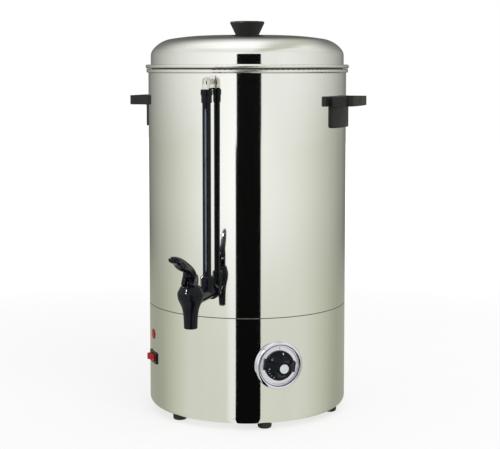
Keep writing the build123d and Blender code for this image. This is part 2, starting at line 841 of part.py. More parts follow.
# ---- sight gauge ------------------------------------------------------------------------
def gauge_nut():
    """A hexagonal nut with a coned top, stepped inside for the seal, the glass and the guard."""
    corner_r = gauge_nut_d / 2
    cone = outline(
        (0, gauge_nut_z),
        (corner_r + 1.0, gauge_nut_z),
        (corner_r + 1.0, nut_top - 3.5),
        (gauge_d / 2 + 1.4, nut_top),
        (0, nut_top),
    )
    nut = hexagon(corner_r, gauge_nut_z, nut_top) & turned(cone)
    nut -= disc(gauge_d / 2 + bore_gap, guard_low - seat_gap, nut_top + past)
    nut -= disc(glass_d / 2 + bore_gap, gauge_nut_z - past, nut_top)
    nut -= disc(seal_r + bore_gap, gauge_nut_z - past, gauge_nut_z + seal_h)
    return upright(gauge_r) * nut


def gauge_seal():
    high = gauge_nut_z + seal_h - seat_gap
    return upright(gauge_r) * disc(seal_r, gauge_nut_z, high, glass_d / 2 + seat_gap)


def gauge_glass():
    low = gauge_nut_z - glass_seat
    return upright(gauge_r) * disc(glass_d / 2, low, glass_top, glass_d / 2 - glass_wall)


def gauge_guard():
    """A tube round the glass, open at the front so that the level shows."""
    guard = disc(gauge_d / 2, guard_low, gauge_top_z, gauge_d / 2 - gauge_wall)
    slot_low = nut_top + 6.0
    slot_high = gauge_top_z - 8.0
    guard -= Pos(0, -gauge_d / 2, 0) * block(gauge_slot_w, gauge_d / 2, slot_low, slot_high)
    return upright(gauge_r) * guard


def gauge_cap():
    """The cap closes over the guard's upper end and carries the stud for the strap."""
    grip_low = gauge_top_z - 0.5
    flare_z = gauge_top_z + cap_h * 0.5
    cap = outline(
        (0, grip_low),
        (cap_d / 2, grip_low),
        (cap_d / 2, flare_z),
        (cap_flare_d / 2, flare_z + 1.5),
        (cap_flare_d / 2, strap_z - 0.8),
        (cap_flare_d / 2 - 0.8, strap_z),
        (strap_stud_d / 2, strap_z),
        (strap_stud_d / 2, strap_z + strap_t + strap_stud_l),
        (0, strap_z + strap_t + strap_stud_l),
    )
    cap = turned(cap)
    cap -= disc(gauge_d / 2 + bore_gap, grip_low - past, gauge_top_z + seat_gap)
    cap -= disc(glass_d / 2 + bore_gap, grip_low - past, glass_top + seat_gap)
    return upright(gauge_r) * cap


def gauge_strap():
    """An angle of bright strip: one leg against the wall, the other over the gauge's cap."""
    end = gauge_reach + strap_w / 2
    path = FilletPolyline(
        (-end, strap_z), (-seat_gap, strap_z), (-seat_gap, strap_z + strap_leg_h), radius=strap_t + 0.9
    )
    strip = make_face(offset(path, strap_t, side=Side.LEFT))
    strap = Pos(-strap_w / 2, -body_r, 0) * extrude(Plane.YZ * strip, strap_w)
    strap -= upright(gauge_r) * disc(strap_stud_d / 2 + bore_gap, strap_z - past, strap_z + past)
    strap -= wall_hole(0, rivet_z, rivet_d / 2)
    return strap


def strap_rivet():
    outer = body_r + seat_gap + strap_t
    inner = inner_r - seat_gap
    rivet = disc(rivet_d / 2, inner, outer)
    rivet += disc(rivet_head_d / 2, outer, outer + rivet_head_t)
    rivet += disc(rivet_head_d / 2, inner - rivet_head_t, inner)
    return outward(0, rivet_z) * rivet


def gauge_dome_nut():
    """A nut whose threaded hole ends under a closed dome."""
    low = strap_z + strap_t
    dome_r = dome_nut_d / 2 - 0.3
    dome_z = low + dome_nut_h - dome_nut_d / 2
    nut = hexagon(dome_nut_d / 2 + 0.4, low, low + dome_nut_hex_h)
    nut += disc(dome_r, low, dome_z)
    nut += Pos(0, 0, dome_z) * Sphere(dome_r, arc_size1=0, align=standing)
    return upright(gauge_r) * (nut - disc(strap_stud_d / 2 + running_gap, low - past, low + strap_stud_l + 1))


# ---- dial -------------------------------------------------------------------------------
def thermostat_bezel():
    """A pressed dish: a rolled rim, a wall down into a groove and a flat inner ring."""
    rim_r = bezel_d / 2
    groove_r = bezel_groove_d / 2
    crest = body_r + bezel_rim
    outer = ThreePointArc((rim_r, body_r + 0.8), (rim_r - 0.9, crest - 1.3), (rim_r - 3.0, crest))
    rim = outer + ThreePointArc(outer @ 1, (rim_r - 4.5, crest - 0.7), (groove_r + 0.4, crest - 2.2))
    inner = Polyline(
        rim @ 1,
        (groove_r, bezel_plate - bezel_groove_t),
        (groove_r - 0.9, bezel_plate - bezel_groove_t),
        (groove_r - 1.7, bezel_plate),
        (bushing_r + bore_gap, bezel_plate),
        (bushing_r + bore_gap, body_r - 8),
        (rim_r, body_r - 8),
        rim @ 0,
    )
    bezel = turned(make_face(rim + inner)) - screw_holes(body_r - 9, bezel_plate - 1)
    return outside_wall(outward(dial_angle, dial_z) * bezel, seat_gap)


def dial_knob():
    """A flanged knob with a tapered hub and a wing on either side that passes the flange."""
    flange_r = dial_knob_d / 2
    hub_r = dial_hub_d / 2
    side = Spline(
        (flange_r - 1.2, knob_back + dial_flange_t),
        (hub_r + 5.0, knob_back + dial_flange_t + 4.0),
        (hub_r, dial_front),
        tangents=((-1, 0.45), (-0.1, 1)),
    )
    rest = Polyline(
        side @ 1,
        (0, dial_front),
        (0, knob_back),
        (flange_r, knob_back),
        (flange_r, knob_back + dial_flange_t - 1.0),
        side @ 0,
    )
    knob = turned(make_face(side + rest))
    wing_r = flange_r + dial_wing_over
    wing = outline(
        (-wing_r, knob_back),
        (wing_r, knob_back),
        (wing_r - 1.0, knob_back + dial_wing_h),
        (hub_r, dial_front - 1.5),
        (-hub_r, dial_front - 1.5),
        (1.0 - wing_r, knob_back + dial_wing_h),
    )
    blade = Pos(0, dial_wing_w / 2, 0) * extrude(Plane.XZ * wing, dial_wing_w)
    draft = extrude(Rectangle(3 * wing_r, dial_wing_w), dial_stand, taper=dial_wing_draft)
    knob += blade & (Pos(0, 0, knob_back) * draft)
    knob -= disc(dial_disc_d / 2 + bore_gap, dial_front - dial_disc_t, dial_front + past)
    knob -= disc(shaft_d / 2, knob_back - past, knob_back + shaft_grip + 0.5)
    return outward(dial_angle, dial_z) * Rot(0, 0, dial_wing_tilt) * knob


def dial_disc():
    low = dial_front - dial_disc_t
    return outward(dial_angle, dial_z) * disc(dial_disc_d / 2, low, dial_front + dial_disc_proud)


def screw_head(gap=0.0):
    """The countersunk head of a thermostat screw, or its seat with a gap round it."""
    cone = Cone(thermostat_screw_d / 2 + gap, thermostat_screw_d + gap, screw_head_t, align=standing)
    return Pos(0, 0, screw_seat) * cone


def thermostat_screws():
    """Two countersunk screws under the knob hold bezel, skirt and thermostat together."""
    screw = disc(thermostat_screw_d / 2, thermostat_face - thermostat_screw_l, screw_seat) + screw_head()
    return [outward(dial_angle, dial_z) * Pos(x, 0, 0) * screw for x in screw_sides]


def screw_holes(low, high):
    """Clearance for the thermostat's two screws, in the dial's own frame."""
    holes = Part()
    for x in screw_sides:
        holes += Pos(x, 0, 0) * (disc(thermostat_screw_d / 2 + bore_gap, low, high) + screw_head(bore_gap))
    return holes


def thermostat_shaft():
    shaft = disc(shaft_d / 2 - running_gap, thermostat_face - 8, knob_back + shaft_grip)
    return outward(dial_angle, dial_z) * shaft


def thermostat_body():
    """The regulator's case with the threaded bushing that passes the skirt."""
    case = block(case_w, case_h, thermostat_face - case_depth, thermostat_face)
    case = fillet(case.edges().filter_by(Axis.Z), case_corner_r)
    case += disc(bushing_r, thermostat_face, bezel_plate - 0.4)
    case -= disc(shaft_d / 2, thermostat_face - 8 - air_gap, bezel_plate + past)
    case -= screw_holes(thermostat_face - thermostat_screw_l - 1, thermostat_face + 1)
    return outward(dial_angle, dial_z) * case


# ---- switch and lamp --------------------------------------------------------------------
def switch_housing():
    """A snap-in frame with a deep well for the rocker and sockets for its stubs."""
    drop = body_r - sqrt(body_r**2 - (switch_w / 2) ** 2)
    rim = block(switch_w, switch_h, body_r - drop - 1, body_r + switch_rim)
    rim = fillet(rim.edges().filter_by(Axis.Z), switch_corner_r)
    rim = outside_wall(outward(switch_angle, switch_z) * rim, seat_gap)
    case = block(switch_body_w, switch_body_h, body_r - switch_depth, body_r + switch_rim)
    case = outward(switch_angle, switch_z) * case
    well = block(rocker_l + 2 * air_gap, rocker_h + 2 * air_gap, body_r - well_depth, body_r + 4 * past)
    socket = Pos(0, 0, rocker_axis) * Rot(90, 0, 0) * Cylinder(
        rocker_stub_r + running_gap, rocker_h + 2 * (air_gap + rocker_stub_l)
    )
    housing = rim + case - outward(switch_angle, switch_z) * (well + socket)
    tabs = Part()
    for x in (-8, 0, 8):
        tabs += Pos(x, 0, 0) * block(tab_t, tab_w, body_r - switch_depth - tab_l, body_r - switch_depth)
    return housing + outward(switch_angle, switch_z) * tabs


def switch_rocker():
    """A rocker with two faces and two stubs to turn on, stored with its left end out."""
    half = rocker_l / 2 - 1.2
    section = outline(
        (-half, 1.0),
        (0, -5.0),
        (half, 1.0),
        (half - 1.2, rocker_end),
        (0, rocker_end - rocker_dip),
        (1.2 - half, rocker_end),
    )
    body = Pos(0, rocker_h / 2, 0) * extrude(Plane.XZ * section, rocker_h)
    body += Rot(90, 0, 0) * Cylinder(rocker_stub_r, rocker_h + 2 * (air_gap + rocker_stub_l - 0.1))
    return outward(switch_angle, switch_z) * Pos(0, 0, rocker_axis) * Rot(0, rocker_tilt, 0) * body


def lamp_lens():
    """A domed lens with a stem that passes the skirt."""
    lens_r = lamp_d / 2
    stem_r = lamp_stem_d / 2
    back = body_r + seat_gap
    front = back + lamp_dome_h
    rise = lamp_dome_h - lamp_edge_h
    ball_r = (lens_r**2 + rise**2) / (2 * rise)
    half_way = front - ball_r + sqrt(ball_r**2 - (lens_r / 2) ** 2)
    dome = ThreePointArc((lens_r, back + lamp_edge_h), (lens_r / 2, half_way), (0, front))
    rest = Polyline(
        dome @ 1,
        (0, body_r - lamp_stem_l),
        (stem_r, body_r - lamp_stem_l),
        (stem_r, back),
        (lens_r, back),
        dome @ 0,
    )
    return outward(switch_angle, lamp_z) * turned(make_face(dome + rest))


def lamp_clip():
    stem_r = lamp_stem_d / 2
    seat = inner_r - 1.2
    clip = disc(stem_r + lamp_clip_w, seat - lamp_clip_t, seat, stem_r + running_gap)
    return outward(switch_angle, lamp_z) * clip


# ---- inside the base --------------------------------------------------------------------
def heat_plate():
    plate = disc(heat_plate_d / 2, heat_low, heat_top)
    return chamfer(plate.faces().sort_by(Axis.Z)[0].edges(), 1.0)


def heating_element():
    """A tube bent to an open ring under the heat plate, with two legs turned down."""
    ring_r = element_ring_d / 2
    tube_r = element_d / 2
    ring = revolve(Plane.XZ * (Pos(ring_r, 0) * Circle(tube_r)), Axis.Z, 360 - element_gap)
    ring = Rot(0, 0, 90 + element_gap / 2) * ring
    leg = disc(tube_r, -leg_drop, 0) + Sphere(tube_r)
    leg += disc(element_pin_d / 2, -leg_drop - element_pin_l, -leg_drop)
    for turn in (90 + element_gap / 2, 90 - element_gap / 2):
        ring += Rot(0, 0, turn) * Pos(ring_r, 0, 0) * leg
    return Pos(0, 0, heat_low - tube_r - seat_gap) * ring


def thermal_cutoff():
    """A round overheat cut-out clamped to the heat plate."""
    low = heat_low - cutoff_h
    case = disc(cutoff_d / 2, low, heat_low - seat_gap)
    case += block(1.5 * cutoff_d, cutoff_d / 2, heat_low - 3.5, heat_low - 2.0)
    for x in (-5, 5):
        case += Pos(x, 0, 0) * block(tab_t, tab_w, low - tab_l, low)
    return Pos(0, cutoff_place, 0) * case


def thermostat_bulb():
    """The bulb that feels the heat plate, and its capillary down to the back of the thermostat."""
    z = heat_low - bulb_d / 2 - seat_gap
    bulb = Pos(0, bulb_place, z) * Rot(0, 90, 0) * Cylinder(bulb_d / 2, bulb_l)
    port = outward(dial_angle, dial_z + 12, thermostat_face - case_depth - seat_gap)
    start = Vector(bulb_l / 2 - 1, bulb_place, z)
    bends = ((44, 6, z - 12), (57, -42, z - 34))
    path = Spline(start, *bends, port.origin, tangents=((1, 0, 0), port.z_dir))
    return bulb + sweep(Plane(origin=start, z_dir=(1, 0, 0)) * Circle(capillary_d / 2), path=path)


def tie_studs():
    stud = disc(stud_d / 2, plate_bottom - stud_nut_t - 0.6, floor_under)
    return [place * stud for place in stud_places()]


def tie_nuts():
    low = plate_bottom - stud_nut_t
    nut = hexagon(stud_nut_r, low, plate_bottom)
    nut -= disc(stud_d / 2 + running_gap, low - past, plate_bottom + past)
    return [place * nut for place in stud_places()]


def terminal_block():
    """A three-way block on the base plate beside the cord's inlet."""
    top = plate_top + block_h
    body = block(block_w, block_depth, plate_top, top)
    for x in (-block_pitch, 0, block_pitch):
        for y in (-4.0, 6.0):
            body -= Pos(x, y, 0) * disc(block_hole_r, top - block_h / 2, top + past)
    return Pos(0, plate_r - block_inset, 0) * body


def cord_gland():
    """A bushing with a flange outside and a nut inside, for a cord of the bore's size."""
    head = outline(
        (0, body_r - 6),
        (gland_flange_r, body_r - 6),
        (gland_flange_r, body_r + 2.0),
        (gland_flange_r - 1.5, body_r + 4.0),
        (gland_thread_r - 1.0, body_r + 6.0),
        (gland_thread_r - 1.6, body_r + gland_reach),
        (0, body_r + gland_reach),
    )
    frame = outward(180, gland_z)
    gland = outside_wall(frame * turned(head), seat_gap)
    gland += frame * disc(gland_thread_r, inner_r - 12, body_r + 1.0)
    return gland - frame * disc(gland_bore_d / 2, inner_r - 4 * past, body_r + gland_reach + past)


def gland_nut():
    seat = inner_r - 1.4
    nut = hexagon(gland_nut_r, seat - gland_nut_t, seat)
    nut -= disc(gland_thread_r + running_gap, seat - gland_nut_t - past, seat + past)
    return outward(180, gland_z) * nut


os.makedirs("parts", exist_ok=True)
save("base_skirt", base_skirt())
save("base_plate", base_plate())
save("rubber_feet", *rubber_feet())
save("foot_screws", *foot_screws())
save("foot_nuts", *foot_nuts())
save("seam_gasket", seam_gasket())
save("tank_shell", tank_shell())
save("tank_floor", tank_floor())
save("lid_dome", lid_dome())
save("lid_ring", lid_ring())
save("lid_knob", lid_knob())
save("lid_knob_washer", lid_knob_washer())
save("lid_knob_screw", lid_knob_screw())
save("handle_right", handle(90))
save("handle_left", handle(-90))
save("handle_screws", *handle_screws())
save("faucet_shank", faucet_shank())
save("shank_gaskets", *shank_gaskets())
save("shank_locknut", shank_locknut())
save("faucet_body", faucet_body())
save("faucet_bonnet", faucet_bonnet())
save("seat_cup", seat_cup())
save("valve_stem", valve_stem())
save("valve_spring", valve_spring())
save("lever_pin", lever_pin())
save("faucet_lever", faucet_lever())
save("gauge_nut", gauge_nut())
save("gauge_seal", gauge_seal())
save("gauge_glass", gauge_glass())
save("gauge_guard", gauge_guard())
save("gauge_cap", gauge_cap())
save("gauge_strap", gauge_strap())
save("strap_rivet", strap_rivet())
save("gauge_dome_nut", gauge_dome_nut())
save("thermostat_bezel", thermostat_bezel())
save("dial_knob", dial_knob())
save("dial_disc", dial_disc())
save("thermostat_shaft", thermostat_shaft())
save("thermostat_body", thermostat_body())
save("thermostat_screws", *thermostat_screws())
save("switch_housing", switch_housing())
save("switch_rocker", switch_rocker())
save("lamp_lens", lamp_lens())
save("lamp_clip", lamp_clip())
save("heat_plate", heat_plate())
save("heating_element", heating_element())
save("thermal_cutoff", thermal_cutoff())
save("thermostat_bulb", thermostat_bulb())
save("tie_studs", *tie_studs())
save("tie_nuts", *tie_nuts())
save("terminal_block", terminal_block())
save("cord_gland", cord_gland())
save("gland_nut", gland_nut())
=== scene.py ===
# %% [markdown]
# # A hot water urn
# This lesson dresses a catering urn: a polished steel tank and base, a domed lid, black plastic fittings, a
# tap under a sight gauge, a temperature dial and a red rocker switch. The construction comes from the
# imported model, whose pieces are already in place. What is left for Blender is the finish of every surface,
# the small modelled details that a moulded or pressed piece has, and a studio in which polished steel looks
# like steel.

import bpy
from math import atan2, cos, degrees, pi, radians, sin
from mathutils import Matrix, Vector


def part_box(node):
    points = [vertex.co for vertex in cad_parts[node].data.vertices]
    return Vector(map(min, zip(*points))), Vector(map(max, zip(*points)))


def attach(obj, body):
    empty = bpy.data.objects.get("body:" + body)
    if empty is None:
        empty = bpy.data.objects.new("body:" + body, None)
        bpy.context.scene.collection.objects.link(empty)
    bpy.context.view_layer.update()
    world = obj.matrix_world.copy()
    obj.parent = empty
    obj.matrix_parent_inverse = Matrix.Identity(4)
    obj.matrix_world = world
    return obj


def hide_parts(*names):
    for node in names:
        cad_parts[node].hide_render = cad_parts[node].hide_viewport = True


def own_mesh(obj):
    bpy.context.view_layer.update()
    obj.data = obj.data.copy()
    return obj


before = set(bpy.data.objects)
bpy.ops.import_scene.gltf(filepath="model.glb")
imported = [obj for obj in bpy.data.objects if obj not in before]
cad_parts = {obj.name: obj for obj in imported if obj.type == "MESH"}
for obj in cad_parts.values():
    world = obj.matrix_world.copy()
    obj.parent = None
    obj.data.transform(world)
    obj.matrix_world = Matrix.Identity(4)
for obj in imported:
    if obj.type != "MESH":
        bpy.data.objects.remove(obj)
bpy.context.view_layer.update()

# %% [markdown]
# The urn is looked at from slightly right of its tap, from the height of its rim. A tall object shows
# parallel walls only if the camera hardly tilts, so the camera looks down by five degrees and a small
# vertical shift brings the feet into the picture.

# %% The camera
VIEW_ANGLE = radians(19)
CAMERA_REACH = 1.674
CAMERA_HEIGHT = 0.4671
CAMERA_TILT = radians(5)
to_camera = Vector((sin(VIEW_ANGLE), -cos(VIEW_ANGLE), 0))
to_right = Vector((cos(VIEW_ANGLE), sin(VIEW_ANGLE), 0))

bpy.ops.object.camera_add(
    location=to_camera * CAMERA_REACH + Vector((0, 0, CAMERA_HEIGHT)),
    rotation=(pi / 2 - CAMERA_TILT, 0, VIEW_ANGLE),
)
camera = bpy.context.object
camera.data.sensor_width = 36
camera.data.lens = 87.7
camera.data.shift_x = 0.0055
camera.data.shift_y = -0.0992
bpy.context.scene.camera = camera
bpy.context.scene.view_settings.view_transform = "Standard"
print("camera at", [round(v, 3) for v in camera.location], "lens", camera.data.lens)

# %% [markdown]
# Every finish below is built from nodes. Wiring nodes one by one hides the idea, so a small class lets a
# socket take Python's arithmetic: `1 - mask` adds a Math node and returns its result. All other nodes come
# from one method that takes the node's type, its settings and the values of its sockets.


# %% A small language for shaders
class Wire:
    """A socket's value in a shader, which can be added, multiplied and compared like a number."""

    def __init__(self, shader, socket):
        self.shader, self.socket = shader, socket

    def maths(self, operation, *values):
        return self.shader.node("ShaderNodeMath", {"operation": operation}, dict(enumerate(values)))

    def __add__(self, other):
        return self.maths("ADD", self, other)

    def __sub__(self, other):
        return self.maths("SUBTRACT", self, other)

    def __rsub__(self, other):
        return self.maths("SUBTRACT", other, self)

    def __mul__(self, other):
        return self.maths("MULTIPLY", self, other)

    def __truediv__(self, other):
        return self.maths("DIVIDE", self, other)

    def __lt__(self, other):
        return self.maths("LESS_THAN", self, other)

    def __gt__(self, other):
        return self.maths("GREATER_THAN", self, other)

    __radd__ = __add__
    __rmul__ = __mul__

    def out(self, name):
        """Another output of the same node."""
        return Wire(self.shader, self.socket.node.outputs[name])

    def smooth(self, low, high):
        """Runs from 0 at low to 1 at high, with soft ends."""
        return self.shader.node(
            "ShaderNodeMapRange",
            {"interpolation_type": "SMOOTHSTEP"},
            {0: self, 1: low, 2: high, 3: 0.0, 4: 1.0},
        )


class Shader:
    """A node tree and the one method that adds nodes to it."""

    def __init__(self, tree):
        self.tree = tree
        tree.nodes.clear()

    def node(self, kind, settings=None, sockets=None):
        made = self.tree.nodes.new(kind)
        for name, value in (settings or {}).items():
            if name == "stops":
                ramp = made.color_ramp.elements
                for place in range(len(value) - len(ramp)):
                    ramp.new(1.0)
                for stop, (position, colour) in zip(ramp, value):
                    stop.position, stop.color = position, colour
            else:
                setattr(made, name, value)
        for key, value in (sockets or {}).items():
            if isinstance(value, Wire):
                self.tree.links.new(value.socket, made.inputs[key])
            else:
                made.inputs[key].default_value = value
        return Wire(self, made.outputs[0]) if made.outputs else made

    def mix(self, factor, first, second):
        """A colour between two colours."""
        return self.node("ShaderNodeMix", {"data_type": "RGBA"}, {0: factor, 6: first, 7: second}).out(2)


def along(shader, place, direction):
    """How far a place lies along a direction."""
    made = shader.node("ShaderNodeVectorMath", {"operation": "DOT_PRODUCT"}, {0: place, 1: direction})
    return made.out("Value")


def distance(first, second):
    """How far a place lies from a line, from its two offsets."""
    squared = first * first + second * second
    return squared.maths("SQRT", squared)


UP = Vector((0, 0, 1))
print("shader helpers ready")

# %% [markdown]
# Most finishes share three things: a colour that drifts a little over the surface, a roughness that drifts
# with it, and a fine bump. One function sets up a principled surface with those, in metres on the piece
# itself, and each finish passes its own scales and colours. Values that are the same all over stay on the
# shader's own sockets.


# %% A surface with drift and grain
def grey(value, alpha=1.0):
    return (value, value, value, alpha)


def surface(
    name,
    dark,
    light,
    rough=(0.3, 0.4),
    drift=18.0,
    grain=900.0,
    bump=0.0,
    depth=0.0002,
    metal=0.0,
    stretch=(1, 1, 1),
    worked=None,
    **fixed
):
    """A principled material whose colour and roughness drift between two values, with a fine bump.

    worked may be a function that changes the colour and the roughness by the place on the piece.
    """
    material = bpy.data.materials.new(name)
    material.use_nodes = True
    shader = Shader(material.node_tree)
    spot = shader.node("ShaderNodeTexCoord").out("Object")
    place = shader.node("ShaderNodeMapping", None, {"Vector": spot, "Scale": stretch})
    cloud = shader.node(
        "ShaderNodeTexNoise", None, {"Vector": place, "Scale": drift, "Detail": 4.0, "Roughness": 0.6}
    )
    cloud = cloud.smooth(0.32, 0.68)
    colour = shader.mix(cloud, (*dark, 1.0), (*light, 1.0))
    gloss = rough[0] + cloud * (rough[1] - rough[0])
    if worked:
        colour, gloss = worked(shader, spot, colour, gloss)
    sockets = {"Base Color": colour, "Roughness": gloss, "Metallic": metal}
    if bump:
        fine = shader.node("ShaderNodeTexNoise", None, {"Vector": place, "Scale": grain, "Detail": 2.0})
        sockets["Normal"] = shader.node(
            "ShaderNodeBump", None, {"Strength": bump, "Distance": depth, "Height": fine}
        )
    sockets.update(fixed)
    shaded = shader.node("ShaderNodeBsdfPrincipled", None, sockets)
    shader.node("ShaderNodeOutputMaterial", None, {"Surface": shaded})
    return material


def dress(material, *nodes):
    """Gives CAD pieces their finish."""
    for node in nodes:
        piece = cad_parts[node]
        for slot in piece.material_slots:
            slot.material = material
    print(material.name, "on", ", ".join(nodes))


# %% [markdown]
# The tank, the skirt and the lid are mirror-polished stainless steel. Polished sheet is never quite flat,
# so a very long and shallow ripple bends its reflections a little, and wiping leaves faint upright streaks
# in its gloss. The rolled edges of lid and tank come from a roller, which leaves them duller than the
# polished sheet. Where the two rolls meet, and under the tank's roll, a thin brown line of painted shade
# stands for the crease that light doesn't reach. The tank's inside isn't polished and keeps the satin face
# of the sheet, so its finish changes with the distance from the urn's axis.


# %% Polished steel
ROLLS_LOW, ROLLS_MEET, ROLLS_HIGH = 0.4613, 0.46665, 0.4722
TANK_LOW = 0.1479
INSIDE_R, OUTSIDE_R = 0.1342, 0.1346
LINE_HALF = 0.0006
CREASE_SHADE_BROWN = (0.16, 0.12, 0.10, 1)
UNDER_ROLL_SHADE_BROWN = (0.45, 0.38, 0.30, 1)


def sheet_faces(shader, spot, colour, gloss):
    """Dulls the tank's inside and the rolled edges, and paints shade into the crease where the rolls meet and
    under the tank's roll.
    """
    height = along(shader, spot, UP)
    from_axis = distance(along(shader, spot, Vector((1, 0, 0))), along(shader, spot, Vector((0, 1, 0))))
    inside = (1 - from_axis.smooth(INSIDE_R, OUTSIDE_R)) * (height > TANK_LOW) * (height < ROLLS_MEET)

    def band(low, high, soft):
        return height.smooth(low - soft, low) * (1 - height.smooth(high, high + soft))

    rolls = band(ROLLS_LOW, ROLLS_HIGH, 0.0008)
    shaded_crease = band(ROLLS_MEET - LINE_HALF, ROLLS_MEET + LINE_HALF, 2 * LINE_HALF)
    under_roll_shade = band(ROLLS_LOW - LINE_HALF, ROLLS_LOW + LINE_HALF / 2, LINE_HALF)
    # Painted shade: a dark brown line in the crease where the rolls meet, and a paler one under the tank's
    # roll.
    colour = shader.mix(shaded_crease * 0.85, colour, CREASE_SHADE_BROWN)
    colour = shader.mix(under_roll_shade * 0.6, colour, UNDER_ROLL_SHADE_BROWN)
    return colour, gloss + rolls * 0.2 + shaded_crease * 0.3 + inside * 0.35


polished_steel = surface(
    "polished_steel",
    (0.80, 0.81, 0.77),
    (0.845, 0.855, 0.82),
    rough=(0.035, 0.06),
    drift=9.0,
    grain=14.0,
    bump=0.05,
    depth=0.0006,
    metal=1.0,
    stretch=(1, 1, 0.25),
    worked=sheet_faces,
)
dress(polished_steel, "tank_shell", "base_skirt", "lid_dome")

# %% [markdown]
# The tank's floor, the lid's ring and the base's plate are plain satin sheet. Nobody polishes what nobody
# sees, so the same function makes a rougher steel with the fine upright grain of the rolling mill.

# %% Satin steel
satin_steel = surface(
    "satin_steel",
    (0.52, 0.52, 0.50),
    (0.62, 0.62, 0.60),
    rough=(0.28, 0.38),
    drift=25.0,
    grain=700.0,
    bump=0.15,
    metal=1.0,
    stretch=(1, 1, 0.1),
)
dress(satin_steel, "tank_floor", "lid_ring", "base_plate")

# %% [markdown]
# Screws, nuts and studs are zinc-plated: duller and bluer than the tank, with a coarser cloud. The gauge's
# bracket and its domed nut are bright chrome over brass, which is a little warmer than steel.

# %% Zinc and chrome
zinc = surface(
    "zinc_plate",
    (0.45, 0.46, 0.48),
    (0.60, 0.61, 0.62),
    rough=(0.25, 0.45),
    drift=160.0,
    grain=2500.0,
    bump=0.2,
    metal=1.0,
)
dress(
    zinc,
    *"foot_screws foot_nuts handle_screws lid_knob_screw lid_knob_washer thermostat_screws".split(),
    *"strap_rivet tie_studs tie_nuts shank_locknut lever_pin valve_spring thermostat_shaft".split(),
    *"thermal_cutoff thermostat_bulb".split(),
)
chrome = surface(
    "bright_chrome",
    (0.66, 0.64, 0.58),
    (0.78, 0.76, 0.70),
    rough=(0.05, 0.09),
    drift=60.0,
    grain=60.0,
    bump=0.04,
    metal=1.0,
)
dress(chrome, "gauge_strap", "gauge_dome_nut")

# %% [markdown]
# A spring inside the bonnet pushes the valve shut. It is wound from zinc-plated wire: the wire's round
# section is swept along a helix by the Screw modifier, and its two ends are closed.

# %% Wind the valve's spring
WIRE_D = 0.001
COIL_TURNS = 5
spring_low, spring_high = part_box("valve_spring")
spring_length = spring_high.z - spring_low.z
coil_r = (spring_high.x - spring_low.x) / 2 - WIRE_D / 2
coil_y = (spring_low.y + spring_high.y) / 2
bpy.ops.object.select_all(action="DESELECT")
bpy.ops.mesh.primitive_circle_add(
    vertices=12, radius=WIRE_D / 2, rotation=(pi / 2, 0, 0), location=(coil_r, 0, 0)
)
bpy.ops.object.transform_apply(location=True, rotation=True, scale=True)
spring = bpy.context.object
spring.name = "valve_spring_coil"
bpy.ops.object.modifier_add(type="SCREW")
wound = spring.modifiers[-1]
wound.axis = "Z"
wound.iterations = COIL_TURNS
wound.steps = 32
wound.screw_offset = (spring_length - WIRE_D) / COIL_TURNS
bpy.ops.object.modifier_apply(modifier=wound.name)
bpy.ops.object.mode_set(mode="EDIT")
bpy.ops.mesh.select_all(action="DESELECT")
bpy.ops.mesh.select_non_manifold()
bpy.ops.mesh.fill_holes(sides=12)
bpy.ops.mesh.select_all(action="SELECT")
bpy.ops.mesh.normals_make_consistent(inside=False)
bpy.ops.object.mode_set(mode="OBJECT")
bpy.ops.object.shade_smooth_by_angle(angle=radians(35))
bpy.ops.transform.translate(value=(0, coil_y, spring_low.z + WIRE_D / 2))
bpy.ops.object.transform_apply(location=True, rotation=True, scale=True)
spring.data.materials.append(zinc)
print("spring of", COIL_TURNS, "turns,", round(spring_length * 1000, 1), "mm long")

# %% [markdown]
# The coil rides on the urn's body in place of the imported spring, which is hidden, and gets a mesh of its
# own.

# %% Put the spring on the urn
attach(spring, "urn")
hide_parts("valve_spring")
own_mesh(spring)

# %% [markdown]
# The dial's bezel is pressed from one piece of bright sheet and finished twice: the rolled rim is polished,
# and the flat ring inside it is brushed to a pale satin so that the marks can be read. Both depend on the
# dial's axis, which comes first, from the place of the dial's disc.

# %% The dial's axis
disc_low, disc_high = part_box("dial_disc")
dial_front = (disc_low + disc_high) / 2
DIAL_ANGLE = atan2(dial_front.x, -dial_front.y)
dial_axis = Vector((sin(DIAL_ANGLE), -cos(DIAL_ANGLE), 0))
dial_across = Vector((cos(DIAL_ANGLE), sin(DIAL_ANGLE), 0))
print("the dial looks", round(degrees(DIAL_ANGLE), 1), "degrees right of the tap")

# %% [markdown]
# One material holds both finishes. The shader works out the distance from the dial's axis from the place on
# the piece, and goes over from satin to polish where the flat ring turns up into the rim.

# %% The bezel's two finishes
RING_R, RIM_R = 0.0252, 0.0262
bezel_steel = bpy.data.materials.new("bezel_steel")
bezel_steel.use_nodes = True
bezel = Shader(bezel_steel.node_tree)
place = bezel.node("ShaderNodeTexCoord").out("Object")
offset = bezel.node("ShaderNodeVectorMath", {"operation": "SUBTRACT"}, {0: place, 1: (0, 0, dial_front.z)})
sideways = along(bezel, offset, dial_across)
upwards = along(bezel, offset, UP)
polished = distance(sideways, upwards).smooth(RING_R, RIM_R)
cloud = bezel.node("ShaderNodeTexNoise", None, {"Vector": place, "Scale": 160.0, "Detail": 2.0})
cloud = cloud.smooth(0.3, 0.7)
satin = bezel.mix(cloud, (0.86, 0.84, 0.98, 1), (0.92, 0.90, 1.0, 1))
colour = bezel.mix(polished, satin, (0.78, 0.79, 0.89, 1))
rough = 0.24 + cloud * 0.08 - polished * 0.17
shaded = bezel.node(
    "ShaderNodeBsdfPrincipled", None, {"Base Color": colour, "Roughness": rough, "Metallic": 1.0}
)
bezel.node("ShaderNodeOutputMaterial", None, {"Surface": shaded})
dress(bezel_steel, "thermostat_bezel")

# %% [markdown]
# The tap and the gauge are glossy black phenolic. A moulded gloss surface has a faint orange peel, which
# breaks up the highlights.

